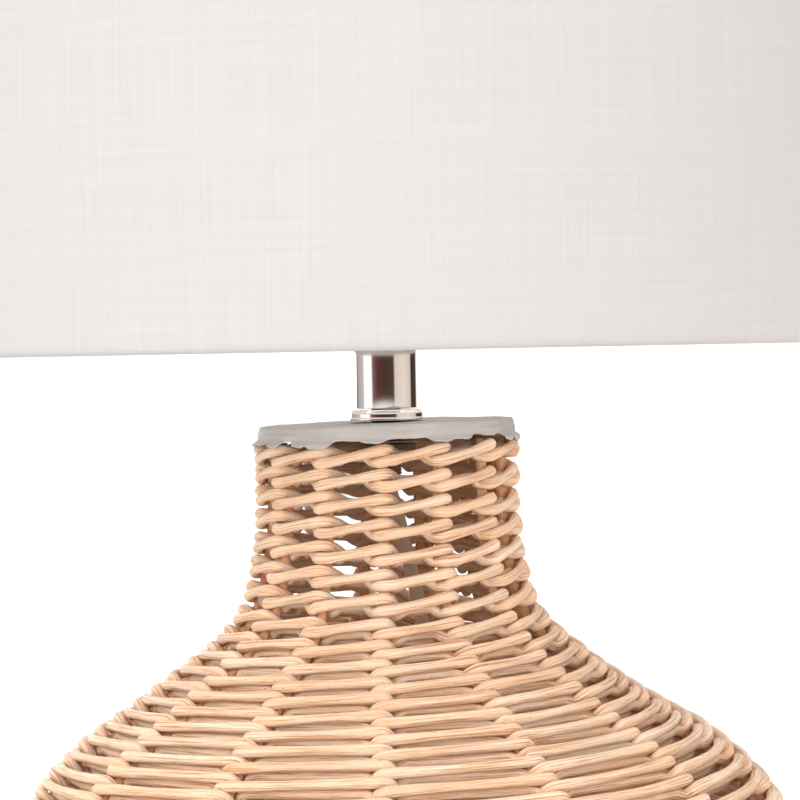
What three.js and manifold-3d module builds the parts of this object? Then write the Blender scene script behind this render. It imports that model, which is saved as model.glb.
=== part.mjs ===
// Table lamp: a basket woven on thirteen stakes, a painted cap, a polished neck tube and a drum shade.
// Millimetres, +Z up. The origin is on the ground at the middle of the lamp, and the front faces -Y.
import * as THREE from "three";
import { mergeVertices } from "three/addons/utils/BufferGeometryUtils.js";
import Module from "manifold-3d";

const wasm = await Module();
wasm.setup();

// ---- Driving dimensions ----

const gap = 0.3; // left between two pieces that touch

const foot = { radius: 8, height: 3, circle: 74, count: 4 };
const board = { radius: 96.5, bottom: foot.height + gap, thickness: 10 };
const ballast = { radius: 56, thickness: 9, screwCircle: 36, screwCount: 2 };
const screw = { head: 4, headHeight: 2.4, shank: 2, length: 7 };

const cap = { radius: 41.2, bottom: 261.7, thickness: 5.3, edge: 1.3, bore: 5.6, tilt: 1.2 };
const drips = [
  // runs of paint over the top row: azimuth and width in degrees, length in millimetres
  { azimuth: -56, width: 7, length: 3.5 },
  { azimuth: -37, width: 22, length: 4.5 },
  { azimuth: -3, width: 9, length: 3.5 },
  { azimuth: 31, width: 24, length: 5 },
  { azimuth: 68, width: 14, length: 5.5 },
];

const weave = { wall: 2.7, bottom: board.bottom + board.thickness + gap, top: cap.bottom - gap };
const outline = [
  // outer radius and height of the woven wall, from the cap down to the board
  [43, weave.top],
  [43.1, 240],
  [44.5, 225],
  [51, 205],
  [74.8, 185],
  [104.4, 165],
  [122.1, 145],
  [134.5, 112],
  [133, 80],
  [117, 40],
  [98, weave.bottom],
];
const lean = { most: 3.5, from: 190, full: 138, ease: 110 }; // the hand-woven belly sits a little to +X
const stake = { count: 13, first: -2, radius: 2, inset: 6, sides: 6, steps: 15 }; // first is an azimuth

const stem = { radius: 5, bore: 3.8, bottom: 250, top: 311 };
const nut = { across: 16.2, height: 6 };
const washer = { radius: 8.8, height: 0.8 };
const flange = { bottom: 267.6, radius: 12.2, upper: 11.1, height: 3.5 };
const neck = { radius: 10, wall: 1.2, top: 303 };

const holder = { radius: 19.4, bore: 14.4, entry: 12.5, thread: 0.6, seam: 322, top: 354 };
const core = { radius: 13.6, bottom: 313, top: 319 };
const clampRing = { radius: 28.5, height: 4.4 };
const hub = { inner: 20.4, outer: 27.5, bottom: 337, thickness: 2 };

const bulb = { capRadius: 13.1, bottom: 322.6, collar: 350, globe: 372, radius: 30, top: 430 };

const shade = { radius: 175, bottom: 290, top: 510, cloth: 0.7, lining: 0.6, wire: 1.5, arm: 1.8 };

const flex = { width: 5.4, thickness: 2.8, sides: 10, ground: 1.5 };
const outlet = { height: 30, flange: 8, barrel: 4.8, depth: 9, lip: 2, bootLength: 22, boot: 4.4, tip: 3.5 };
const coil = { x: -112, y: 112, radius: 30, half: 4.8, height: 11 };
const inlineSwitch = { x: -88, y: 196, turn: 200, length: 62, width: 28, lower: 9, height: 19 };
const rocker = { half: 9.6, width: 9, pivot: 16.4, rise: 3, tilt: 8 };
const plug = { x: -13.4, y: 168, turn: 5, length: 37, width: 35, tail: 13, height: 13.6 };
const pin = { radius: 2, length: 19, apart: 18.6 };

// ---- Finishes ----

const finish = (color, roughness, metalness = 0) =>
  new THREE.MeshStandardMaterial({ color, roughness, metalness });
const rattan = finish("#dfba90", 0.6);
const paint = finish("#d9d8d4", 0.45);
const polished = finish("#c9c6c3", 0.12, 1);
const zinc = finish("#b3ada4", 0.4, 1);
const castIron = finish("#4b4a49", 0.6, 0.6);
const linen = finish("#efeae7", 0.95);
const lining = finish("#f6f4f0", 0.6);
const wireCoat = finish("#e9e8e6", 0.4);
const whitePlastic = finish("#efeeea", 0.35);
const porcelain = finish("#f2efe9", 0.25);
const brass = finish("#c6a457", 0.3, 1);
const opal = finish("#fbfaf6", 0.2);
const clearFlex = finish("#cfc2ac", 0.35);
const rubber = finish("#3a3937", 0.8);

// ---- Making solids ----

const lamp = new THREE.Group();

function place(name, geometry, material, parent = lamp) {
  const mesh = new THREE.Mesh(geometry, material);
  mesh.name = name;
  parent.add(mesh);
  return mesh;
}

const radians = THREE.MathUtils.degToRad;

// A point at a radius, an azimuth in degrees from the front towards +X, and a height.
function around(radius, azimuth, z) {
  const turn = radians(azimuth);
  return new THREE.Vector3(radius * Math.sin(turn), -radius * Math.cos(turn), z);
}

// A solid of revolution about Z. The points are [radius, height], anticlockwise as seen with the radius to
// the right; a profile that stands clear of the axis is closed on itself.
function turned(points, segments = 32) {
  const profile = points.map(([r, z]) => new THREE.Vector2(r, z));
  const onAxis = profile[0].x === 0 && profile[profile.length - 1].x === 0;
  if (!onAxis) profile.push(profile[0].clone());
  return new THREE.LatheGeometry(profile, segments).rotateX(Math.PI / 2);
}

const disc = (radius, bottom, top, segments) =>
  turned([[0, bottom], [radius, bottom], [radius, top], [0, top]], segments);

const ring = (inner, outer, bottom, top, segments) =>
  turned([[inner, bottom], [outer, bottom], [outer, top], [inner, top]], segments);

function torus(radius, wire, z, segments) {
  const profile = [];
  const sides = 6;
  for (let i = 0; i < sides; i++) {
    const turn = (i / sides) * 2 * Math.PI;
    profile.push([radius + wire * Math.cos(turn), z + wire * Math.sin(turn)]);
  }
  return turned(profile, segments);
}

function oval(width, height, sides) {
  const shape = new THREE.Shape();
  for (let i = 0; i < sides; i++) {
    const turn = (i / sides) * 2 * Math.PI;
    const x = (width / 2) * Math.cos(turn);
    const y = (height / 2) * Math.sin(turn);
    if (i === 0) shape.moveTo(x, y);
    else shape.lineTo(x, y);
  }
  shape.closePath();
  return shape;
}

const swept = (shape, path, steps) =>
  new THREE.ExtrudeGeometry(shape, { steps, bevelEnabled: false, extrudePath: path });

const raised = (shape, bottom, top, curveSegments = 6) =>
  new THREE.ExtrudeGeometry(shape, { depth: top - bottom, bevelEnabled: false, curveSegments })
    .translate(0, 0, bottom);

function solidOf(geometry) {
  const bare = (geometry.index ? geometry.toNonIndexed() : geometry.clone()).deleteAttribute("normal");
  const merged = mergeVertices(bare.deleteAttribute("uv"), 1e-3);
  return new wasm.Manifold(
    new wasm.Mesh({
      numProp: 3,
      vertProperties: merged.attributes.position.array,
      triVerts: new Uint32Array(merged.index.array),
    }),
  );
}

function geometryOf(solid) {
  const mesh = solid.getMesh();
  return new THREE.BufferGeometry()
    .setAttribute("position", new THREE.BufferAttribute(mesh.vertProperties, 3))
    .setIndex(new THREE.BufferAttribute(mesh.triVerts, 1));
}

const joined = (...pieces) => geometryOf(pieces.map(solidOf).reduce((whole, piece) => whole.add(piece)));
const cut = (whole, ...tools) =>
  geometryOf(tools.map(solidOf).reduce((left, tool) => left.subtract(tool), solidOf(whole)));

// ---- What the hand-made basket adds to true shapes ----

const capSlope = Math.tan(radians(cap.tilt));

function leanAt(z) {
  const above = 1 - THREE.MathUtils.smoothstep(z, lean.full, lean.from);
  return lean.most * above * THREE.MathUtils.smoothstep(z, weave.bottom, lean.ease);
}

// The belly leans to +X, and the top follows the slope at which the cap is glued on.
function handMade(point) {
  const rise = capSlope * point.x * THREE.MathUtils.smoothstep(point.z, 235, weave.top);
  point.x += leanAt(point.z);
  point.z += rise;
  return point;
}

function handMadeGeometry(geometry) {
  const place = geometry.attributes.position;
  const point = new THREE.Vector3();
  for (let i = 0; i < place.count; i++) {
    handMade(point.fromBufferAttribute(place, i));
    place.setXYZ(i, point.x, point.y, point.z);
  }
  return geometry;
}

// ---- Basket ----

const wall = new THREE.SplineCurve(outline.map(([r, z]) => new THREE.Vector2(r, z)));

// The wall's outline moved inwards by a depth, as [radius, height] from the top down.
function wallAt(depth, count) {
  const points = [];
  for (let i = 0; i <= count; i++) {
    const at = wall.getPointAt(i / count);
    const along = wall.getTangentAt(i / count);
    points.push([at.x + depth * along.y, at.y - depth * along.x]);
  }
  points[0][1] = weave.top;
  points[count][1] = weave.bottom;
  return points;
}

const stakeAzimuth = (number) => stake.first + (number * 360) / stake.count;

// Where the flex comes out: midway between two stakes at the back, square to the wall.
const outletAzimuth = stakeAzimuth(5.5);

function outletFrame() {
  let t = 0;
  while (wall.getPointAt(t).y > outlet.height) t += 0.001;
  const along = wall.getTangentAt(t);
  const out = around(-along.y, outletAzimuth, along.x).normalize();
  return { at: handMade(around(wall.getPointAt(t).x, outletAzimuth, outlet.height)), out };
}

const exit = outletFrame();
const outward = new THREE.Quaternion().setFromUnitVectors(new THREE.Vector3(0, 0, 1), exit.out);
const atOutlet = (geometry) => geometry.applyQuaternion(outward).translate(exit.at.x, exit.at.y, exit.at.z);

function wovenWall() {
  const steps = 17;
  const shell = turned([...wallAt(0, steps).reverse(), ...wallAt(weave.wall, steps)], 36);
  const hole = disc(outlet.barrel + 2 * gap, -2 * outlet.depth, outlet.depth, 16);
  return cut(handMadeGeometry(shell), atOutlet(hole));
}

function stakeRod(azimuth) {
  const points = wallAt(stake.inset, stake.steps).map(([r, z]) => around(r, azimuth, z));
  points[0].z = weave.top - gap;
  points[stake.steps].z = weave.bottom + stake.radius;
  const path = new THREE.CatmullRomCurve3(points.map(handMade));
  return swept(oval(2 * stake.radius, 2 * stake.radius, stake.sides), path, stake.steps);
}

place("weave_body", wovenWall(), rattan);
for (let i = 0; i < stake.count; i++) {
  place("stake_" + String(i + 1).padStart(2, "0"), stakeRod(stakeAzimuth(i)), rattan);
}

// ---- Base ----

const boardTop = board.bottom + board.thickness;
const ballastTop = boardTop + gap + ballast.thickness;

for (let i = 0; i < foot.count; i++) {
  const at = around(foot.circle, 45 + (i * 360) / foot.count, 0);
  place("foot_pad_" + (i + 1), disc(foot.radius, 0, foot.height, 20), rubber).position.copy(at);
}

function screwSpots() {
  return Array.from({ length: ballast.screwCount }, (_, i) =>
    around(ballast.screwCircle, 30 + (i * 360) / ballast.screwCount, 0),
  );
}

const drilled = (whole, radius, bottom, top) =>
  cut(whole, ...screwSpots().map((at) => disc(radius, bottom, top, 12).translate(at.x, at.y, 0)));

const screwTip = ballastTop + gap - screw.length - ballast.thickness;
const baseDisc = disc(board.radius, board.bottom, boardTop, 48);
place("base_board", drilled(baseDisc, screw.shank + gap, screwTip - gap, boardTop + 1), paint);
const ballastDisc = disc(ballast.radius, boardTop + gap, ballastTop, 40);
place("base_weight", drilled(ballastDisc, screw.shank + gap, boardTop - 1, ballastTop + 1), castIron);

screwSpots().forEach((at, i) => {
  const seat = ballastTop + gap;
  const profile = [
    [0, screwTip],
    [screw.shank, screwTip + 2],
    [screw.shank, seat],
    [screw.head, seat],
    [screw.head * 0.8, seat + screw.headHeight],
    [0, seat + screw.headHeight],
  ];
  place("weight_screw_" + (i + 1), turned(profile, 12), zinc).position.copy(at);
});

// ---- Cap, stem and neck ----

function capDisc() {
  const top = cap.bottom + cap.thickness;
  const profile = [
    [cap.bore, cap.bottom],
    [cap.radius - 0.5, cap.bottom],
    [cap.radius, cap.bottom + 0.6],
    [cap.radius, top - cap.edge],
    [cap.radius - 0.4 * cap.edge, top - 0.35 * cap.edge],
    [cap.radius - cap.edge, top],
    [cap.bore, top],
  ];
  return handMadeGeometry(turned(profile, 40));
}

// A run of paint: a thin curved tongue that hangs from the bead, just outside the top row.
function drip({ azimuth, width, length }) {
  const inner = outline[0][0] + 0.6;
  const from = radians(azimuth - 90 - width / 2);
  const to = radians(azimuth - 90 + width / 2);
  const shape = new THREE.Shape();
  shape.absarc(0, 0, inner + 1, from, to, false);
  shape.absarc(0, 0, inner, to, from, true);
  return raised(shape, cap.bottom - length, cap.bottom + 1.2, 4);
}

function paintBead() {
  const inner = cap.radius + 0.35;
  const outer = outline[0][0] + 1.4;
  const bead = turned(
    [
      [inner, cap.bottom + gap],
      [outer, cap.bottom + gap],
      [outer - 0.6, cap.bottom + 1.4],
      [inner, cap.bottom + 2.6],
    ],
    36,
  );
  return handMadeGeometry(joined(bead, ...drips.map(drip)));
}

place("top_cap", capDisc(), paint);
place("cap_paint_runs", paintBead(), paint);

const washerTop = cap.bottom - 2 * gap;
const nutTop = washerTop - washer.height - gap;

function hexNut() {
  const shape = new THREE.Shape();
  for (let i = 0; i < 6; i++) {
    const corner = around(nut.across / Math.sqrt(3), 30 + 60 * i, 0);
    if (i === 0) shape.moveTo(corner.x, corner.y);
    else shape.lineTo(corner.x, corner.y);
  }
  shape.closePath();
  const bore = new THREE.Path();
  bore.absarc(0, 0, stem.radius + gap, 0, 2 * Math.PI, true);
  shape.holes.push(bore);
  return raised(shape, nutTop - nut.height, nutTop, 12);
}

function neckFlange() {
  const z = flange.bottom;
  const bore = stem.radius + gap;
  const profile = [
    [bore, z],
    [flange.radius - 0.6, z],
    [flange.radius, z + 0.6],
    [flange.radius, z + 1.4],
    [flange.radius - 0.6, z + 1.9],
    [flange.upper, z + 2.1],
    [flange.upper, z + 3],
    [flange.upper - 0.5, z + flange.height],
    [bore, z + flange.height],
  ];
  return turned(profile, 28);
}

const neckBottom = flange.bottom + flange.height + gap;
place("threaded_tube", ring(stem.bore, stem.radius, stem.bottom, stem.top, 20), zinc);
place("cap_washer", ring(stem.radius + gap, washer.radius, washerTop - washer.height, washerTop, 24), zinc);
place("cap_nut", hexNut(), zinc);
place("neck_flange", neckFlange(), polished);
place("neck_tube", ring(neck.radius - neck.wall, neck.radius, neckBottom, neck.top, 32), polished);

// ---- Lampholder ----

function holderCap() {
  const z = neck.top + gap;
  const profile = [
    [stem.radius + gap, z],
    [holder.entry, z],
    [holder.radius - 1.5, z + 9],
    [holder.radius - 1, holder.seam],
    [core.radius + gap, holder.seam],
    [core.radius + gap, z + 9],
    [holder.entry - 2, z + 3],
    [stem.radius + gap, z + 3],
  ];
  return turned(profile, 28);
}

function holderShell() {
  const bottom = holder.seam + gap;
  const profile = [[holder.bore, bottom], [holder.radius, bottom]];
  for (let z = bottom + 3; z < holder.top - 4; z += 8) {
    profile.push([holder.radius, z], [holder.radius + holder.thread, z + 1], [holder.radius, z + 2]);
  }
  profile.push([holder.radius, holder.top], [holder.bore, holder.top]);
  return turned(profile, 20);
}

const clampProfile = (bottom) => ring(hub.inner, clampRing.radius, bottom, bottom + clampRing.height, 28);

place("holder_cap", holderCap(), whitePlastic);
place("holder_shell", holderShell(), whitePlastic);
place("holder_core", disc(core.radius, core.bottom, core.top, 24), porcelain);
place("holder_contact", disc(3, core.top + gap, bulb.bottom - gap, 12), brass);
place("shade_ring_lower", clampProfile(hub.bottom - gap - clampRing.height), whitePlastic);
place("shade_ring_upper", clampProfile(hub.bottom + hub.thickness + gap), whitePlastic);

// ---- Bulb ----

function bulbCap() {
  const profile = [[0, bulb.bottom + 2.6], [6, bulb.bottom + 2.6], [bulb.capRadius - 1, bulb.bottom + 5]];
  for (let z = bulb.bottom + 6; z < bulb.collar - 6; z += 7.2) {
    profile.push([bulb.capRadius - 1, z], [bulb.capRadius, z + 1.2], [bulb.capRadius - 1, z + 2.4]);
  }
  profile.push([bulb.capRadius, bulb.collar - 1.5], [bulb.capRadius, bulb.collar], [0, bulb.collar]);
  return turned(profile, 24);
}

function bulbBase() {
  const z = bulb.collar + gap;
  return turned(
    [
      [0, z],
      [bulb.capRadius, z],
      [bulb.capRadius + 0.4, holder.top + 2],
      [22, bulb.globe - 4],
      [23, bulb.globe],
      [0, bulb.globe],
    ],
    28,
  );
}

// The globe is a blown shell, open where it meets the base.
function bulbGlobe() {
  const wallThickness = 1;
  const centre = bulb.top - bulb.radius;
  const start = bulb.globe + gap;
  const open = Math.asin((centre - start) / bulb.radius);
  const outer = [];
  const inner = [];
  const steps = 7;
  for (let i = 0; i <= steps; i++) {
    const turn = -open + (i / steps) * (Math.PI / 2 + open);
    outer.push([bulb.radius * Math.cos(turn), centre + bulb.radius * Math.sin(turn)]);
    const inside = bulb.radius - wallThickness;
    inner.push([inside * Math.cos(turn), centre + inside * Math.sin(turn)]);
  }
  outer[steps][0] = 0;
  inner[steps][0] = 0;
  inner[0][1] = start;
  return turned([...outer, ...inner.reverse()], 20);
}

place("bulb_cap", bulbCap(), polished);
place("bulb_contact", disc(4, bulb.bottom, bulb.bottom + 2.3, 12), brass);
place("bulb_base", bulbBase(), whitePlastic);
place("bulb_globe", bulbGlobe(), opal);

// ---- Shade ----

const liningOuter = shade.radius - shade.cloth - gap;
const wireCircle = liningOuter - shade.lining - gap - shade.wire;
const wireLow = shade.bottom + shade.wire + 0.6;

function spiderArm(azimuth) {
  const path = new THREE.CatmullRomCurve3([
    around(hub.outer + shade.arm, azimuth, hub.bottom + 1),
    around(60, azimuth, hub.bottom + 1),
    around(78, azimuth, hub.bottom - 3),
    around(wireCircle - shade.wire - 14, azimuth, wireLow + 4),
    around(wireCircle - shade.wire - 3 * gap, azimuth, wireLow),
  ]);
  return swept(oval(2 * shade.arm, 2 * shade.arm, 8), path, 12);
}

place("shade_fabric", ring(shade.radius - shade.cloth, shade.radius, shade.bottom, shade.top, 56), linen);
const liningInner = liningOuter - shade.lining;
place("shade_lining", ring(liningInner, liningOuter, shade.bottom + gap, shade.top - gap, 56), lining);
place("shade_wire_bottom", torus(wireCircle, shade.wire, wireLow, 44), wireCoat);
place("shade_wire_top", torus(wireCircle, shade.wire, shade.top - shade.wire - 0.6, 44), wireCoat);
place("spider_hub", ring(hub.inner, hub.outer, hub.bottom, hub.bottom + hub.thickness, 28), wireCoat);
for (let i = 0; i < 3; i++) place("spider_arm_" + (i + 1), spiderArm(60 + 120 * i), wireCoat);

// ---- Flat flex ----

// A route whose cross-section keeps its width along a direction that is worked out from the tangent.
class FlatRoute extends THREE.CatmullRomCurve3 {
  constructor(points, widthFrom) {
    super(points);
    this.widthFrom = widthFrom;
  }

  computeFrenetFrames(steps) {
    const frames = { tangents: [], normals: [], binormals: [] };
    for (let i = 0; i <= steps; i++) {
      const tangent = this.getTangentAt(i / steps);
      const width = this.widthFrom(tangent).addScaledVector(tangent, -this.widthFrom(tangent).dot(tangent));
      frames.tangents.push(tangent);
      frames.normals.push(width.normalize());
      frames.binormals.push(new THREE.Vector3().crossVectors(tangent, width));
    }
    return frames;
  }
}

const lyingFlat = (tangent) => new THREE.Vector3(tangent.y, -tangent.x, 0);
const facingFront = () => new THREE.Vector3(1, 0, 0);

const flexAlong = (points, steps, widthFrom = lyingFlat) =>
  swept(oval(flex.width, flex.thickness, flex.sides), new FlatRoute(points, widthFrom), steps);

const onGround = ([x, y, z = flex.ground]) => new THREE.Vector3(x, y, z);
const fromOutlet = (distance) => exit.at.clone().addScaledVector(exit.out, distance);

const bush = [
  [0, -outlet.depth],
  [outlet.barrel - 0.6, -outlet.depth],
  [outlet.barrel, -outlet.depth + 1.5],
  [outlet.barrel, gap],
  [outlet.flange, gap],
  [outlet.flange - 0.8, outlet.lip],
  [0, outlet.lip],
];
const bootFrom = outlet.lip + gap;
const bootTo = bootFrom + outlet.bootLength;
const boot = [[0, bootFrom], [outlet.boot, bootFrom], [outlet.tip, bootTo], [0, bootTo]];
place("cord_bush", atOutlet(turned(bush, 20)), whitePlastic);
place("strain_relief", atOutlet(turned(boot, 16)), clearFlex);

// From the lampholder down the stem, then slack across the basket to the bush.
const innerRoute = [
  new THREE.Vector3(0, 0, core.bottom - gap),
  new THREE.Vector3(0, 0, 290),
  new THREE.Vector3(0, 0, 268),
  new THREE.Vector3(0, 0, 250),
  new THREE.Vector3(3, 4.5, 237),
  new THREE.Vector3(8.3, 15, 213),
  new THREE.Vector3(12, 23, 193),
  new THREE.Vector3(21, 41, 150),
  new THREE.Vector3(30, 58, 105),
  new THREE.Vector3(39, 75, 64),
  fromOutlet(-outlet.depth - 12),
  fromOutlet(-outlet.depth - gap),
];
place("inner_lead", flexAlong(innerRoute, 26, facingFront), clearFlex);

const floorRoute = [
  fromOutlet(bootTo + gap),
  fromOutlet(bootTo + 8),
  onGround([78.5, 137.5, 3.4]),
  onGround([86, 152]),
  onGround([91, 176]),
  onGround([83, 202]),
  onGround([59, 220]),
  onGround([32, 227]),
  onGround([2, 226]),
  onGround([-28, 218.5, 3]),
];

const switchTurn = radians(inlineSwitch.turn);
const switchAlong = new THREE.Vector3(Math.cos(switchTurn), Math.sin(switchTurn), 0);
const cordEntry = 4.6; // height of the flex where it goes into the switch

function besideSwitch(distance, z) {
  const at = new THREE.Vector3(inlineSwitch.x, inlineSwitch.y, z);
  return at.addScaledVector(switchAlong, distance);
}

const switchEnd = inlineSwitch.length / 2 + gap;
floorRoute.push(besideSwitch(-switchEnd, cordEntry));
place("cord_to_switch", flexAlong(floorRoute, 24), clearFlex);

const coilEdge = coil.radius + coil.half + gap;
const midRoute = [
  besideSwitch(switchEnd, cordEntry),
  besideSwitch(switchEnd + 12, 2.2),
  onGround([-148.5, 167, 1.6]),
  onGround([-157, 147, 2]),
  onGround([-154.6, 131, 2.7]),
  onGround([coil.x - coilEdge - 2.7, coil.y + 5, 2.8]),
];
place("cord_to_coil", flexAlong(midRoute, 10), clearFlex);

function coilRing() {
  const inner = coil.radius - coil.half;
  const outer = coil.radius + coil.half;
  const edge = 1.5;
  const profile = [
    [inner + edge, 0.1],
    [outer - edge, 0.1],
    [outer, edge],
    [outer, coil.height - edge],
    [outer - edge, coil.height],
    [inner + edge, coil.height],
    [inner, coil.height - edge],
    [inner, edge],
  ];
  return turned(profile, 32);
}

place("cord_coil", coilRing(), clearFlex).position.set(coil.x, coil.y, 0);

const plugTurn = radians(plug.turn);
const plugAlong = new THREE.Vector3(Math.cos(plugTurn), Math.sin(plugTurn), 0);
const plugEntry = new THREE.Vector3(plug.x, plug.y, plug.height / 2);
const coilTop = coil.height + flex.thickness / 2 + 0.4;

function onCoil(turn) {
  const angle = radians(turn);
  return onGround([coil.x + coil.radius * Math.cos(angle), coil.y + coil.radius * Math.sin(angle), coilTop]);
}

// The last half turn lies flat on the others, then drops to the ground.
const tailRoute = [
  onCoil(180),
  onCoil(225),
  onCoil(270),
  onCoil(315),
  onCoil(360),
  onGround([-80.8, 124, coilTop]),
  onGround([-79.3, 132, 11.8]),
  onGround([-77, 142, 7]),
  onGround([-72, 151, 3.2]),
  onGround([-62, 159, 1.8]),
  onGround([-46, 164, 2]),
  plugEntry.clone().addScaledVector(plugAlong, -14).setZ(4.6),
  plugEntry.clone().addScaledVector(plugAlong, -gap),
];
place("cord_to_plug", flexAlong(tailRoute, 24), clearFlex);

// ---- Inline switch ----

// A rectangle with round ends, long in X.
function caseOutline(length, width, corner) {
  const x = length / 2 - corner;
  const y = width / 2 - corner;
  const shape = new THREE.Shape();
  shape.absarc(x, y, corner, 0, Math.PI / 2, false);
  shape.absarc(-x, y, corner, Math.PI / 2, Math.PI, false);
  shape.absarc(-x, -y, corner, Math.PI, 1.5 * Math.PI, false);
  shape.absarc(x, -y, corner, 1.5 * Math.PI, 2 * Math.PI, false);
  return shape;
}

function upperCase() {
  const shape = caseOutline(inlineSwitch.length, inlineSwitch.width, 11);
  const x = rocker.half + 1;
  const y = rocker.width / 2 + 0.6;
  const corners = [[-x, -y], [-x, y], [x, y], [x, -y]];
  shape.holes.push(new THREE.Path(corners.map(([u, v]) => new THREE.Vector2(u, v))));
  return raised(shape, inlineSwitch.lower + gap, inlineSwitch.height, 5);
}

// The rocker's side view, about its pivot: a shallow valley on top, so that one half lies level at each end.
function rockerKey() {
  const lift = rocker.half * Math.tan(radians(rocker.tilt));
  const shape = new THREE.Shape([
    new THREE.Vector2(-rocker.half + 0.6, -rocker.rise),
    new THREE.Vector2(rocker.half - 0.6, -rocker.rise),
    new THREE.Vector2(rocker.half, rocker.rise + lift),
    new THREE.Vector2(0, rocker.rise),
    new THREE.Vector2(-rocker.half, rocker.rise + lift),
  ]);
  const key = new THREE.ExtrudeGeometry(shape, { depth: rocker.width, bevelEnabled: false });
  return key.translate(0, 0, -rocker.width / 2).rotateX(Math.PI / 2);
}

const switchGroup = new THREE.Group();
switchGroup.position.set(inlineSwitch.x, inlineSwitch.y, 0);
switchGroup.rotation.z = switchTurn;
lamp.add(switchGroup);
const lowerCase = raised(caseOutline(inlineSwitch.length, inlineSwitch.width, 11), 0, inlineSwitch.lower, 5);
place("switch_lower_case", lowerCase, whitePlastic, switchGroup);
place("switch_upper_case", upperCase(), whitePlastic, switchGroup);
const key = place("switch_rocker", rockerKey(), whitePlastic, switchGroup);
key.position.z = rocker.pivot;
key.rotation.y = radians(rocker.tilt);

// ---- Plug ----

function plugOutline() {
  const half = plug.width / 2;
  const rear = plug.tail / 2;
  const shape = new THREE.Shape();
  shape.moveTo(0, -rear);
  shape.lineTo(6, -rear);
  shape.quadraticCurveTo(16, -rear - 1, plug.length * 0.6, -half);
  shape.lineTo(plug.length, -half);
  shape.lineTo(plug.length, half);
  shape.lineTo(plug.length * 0.6, half);
  shape.quadraticCurveTo(16, rear + 1, 6, rear);
  shape.lineTo(0, rear);
  shape.closePath();
  return shape;
}

const plugGroup = new THREE.Group();
plugGroup.position.set(plug.x, plug.y, 0);
plugGroup.rotation.z = plugTurn;
lamp.add(plugGroup);
place("plug_body", raised(plugOutline(), 0, plug.height), whitePlastic, plugGroup);
for (const [i, side] of [-1, 1].entries()) {
  const shank = turned(
    [
      [0, gap],
      [pin.radius, gap],
      [pin.radius, pin.length - 1.5],
      [pin.radius - 1, pin.length],
      [0, pin.length],
    ],
    12,
  );
  const prong = place("plug_pin_" + (i + 1), shank, polished, plugGroup);
  prong.rotation.y = Math.PI / 2;
  prong.position.set(plug.length, (side * pin.apart) / 2, plug.height / 2);
}

export default lamp;
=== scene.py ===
import math

import bpy
import numpy as np
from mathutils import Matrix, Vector


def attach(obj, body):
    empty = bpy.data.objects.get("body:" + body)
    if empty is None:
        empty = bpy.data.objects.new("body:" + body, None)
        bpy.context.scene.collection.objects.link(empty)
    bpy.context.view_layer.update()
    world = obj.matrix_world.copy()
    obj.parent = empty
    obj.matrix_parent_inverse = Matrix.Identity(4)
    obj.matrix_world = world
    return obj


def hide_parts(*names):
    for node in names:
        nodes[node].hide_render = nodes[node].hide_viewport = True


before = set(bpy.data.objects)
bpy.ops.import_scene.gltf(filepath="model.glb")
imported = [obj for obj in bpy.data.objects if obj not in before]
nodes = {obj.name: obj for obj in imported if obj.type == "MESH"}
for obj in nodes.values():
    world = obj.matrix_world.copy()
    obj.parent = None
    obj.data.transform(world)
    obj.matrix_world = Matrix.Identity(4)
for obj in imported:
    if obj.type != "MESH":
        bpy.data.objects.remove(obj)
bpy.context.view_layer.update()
mm = 0.001
print("frame loaded:", len(nodes), "CAD nodes")


# small helpers

def toLinear(colour):
    channels = [int(colour[i:i + 2], 16) / 255 for i in (1, 3, 5)]
    return tuple(c / 12.92 if c < 0.04045 else ((c + 0.055) / 1.055) ** 2.4 for c in channels) + (1.0,)


# adds a node: lower-case settings are its options, the others are its sockets
def addNode(tree, kind, settings=None, links=None):
    node = tree.nodes.new("ShaderNode" + kind)
    for name, value in (settings or {}).items():
        if isinstance(name, str) and hasattr(node, name):
            setattr(node, name, value)
        else:
            node.inputs[name].default_value = value
    for name, socket in (links or {}).items():
        tree.links.new(socket, node.inputs[name])
    return node


def addMaterial(name, settings):
    material = bpy.data.materials.new(name)
    material.use_nodes = True
    surface = material.node_tree.nodes["Principled BSDF"]
    for socket, value in settings.items():
        surface.inputs[socket].default_value = toLinear(value) if isinstance(value, str) else value
    return material, material.node_tree, surface


def setStops(ramp, stops):
    elements = ramp.color_ramp.elements
    while len(elements) < len(stops):
        elements.new(0.5)
    for element, (position, colour) in zip(elements, stops):
        element.position = position
        element.color = toLinear(colour) if isinstance(colour, str) else (colour, colour, colour, 1)


def deselectAll():
    bpy.ops.object.select_all(action="DESELECT")


def startEdit(piece, mode="FACE"):
    deselectAll()
    piece.select_set(True)
    bpy.context.view_layer.objects.active = piece
    bpy.ops.object.mode_set(mode="EDIT")
    bpy.ops.mesh.select_mode(type=mode)
    bpy.ops.mesh.select_all(action="SELECT")


def endEdit():
    bpy.ops.object.mode_set(mode="OBJECT")


def smoothShade(piece, angle=35):
    deselectAll()
    piece.select_set(True)
    bpy.context.view_layer.objects.active = piece
    bpy.ops.object.shade_smooth_by_angle(angle=math.radians(angle))


def finishPiece(piece, material, slotName, stands=(), body="lamp"):
    piece.data.materials.clear()
    piece.data.materials.append(material)
    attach(piece, body)
    if stands:
        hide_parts(*stands)
    return piece


def linkMesh(name, mesh):
    piece = bpy.data.objects.new(name, mesh)
    bpy.context.scene.collection.objects.link(piece)
    return piece


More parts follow.
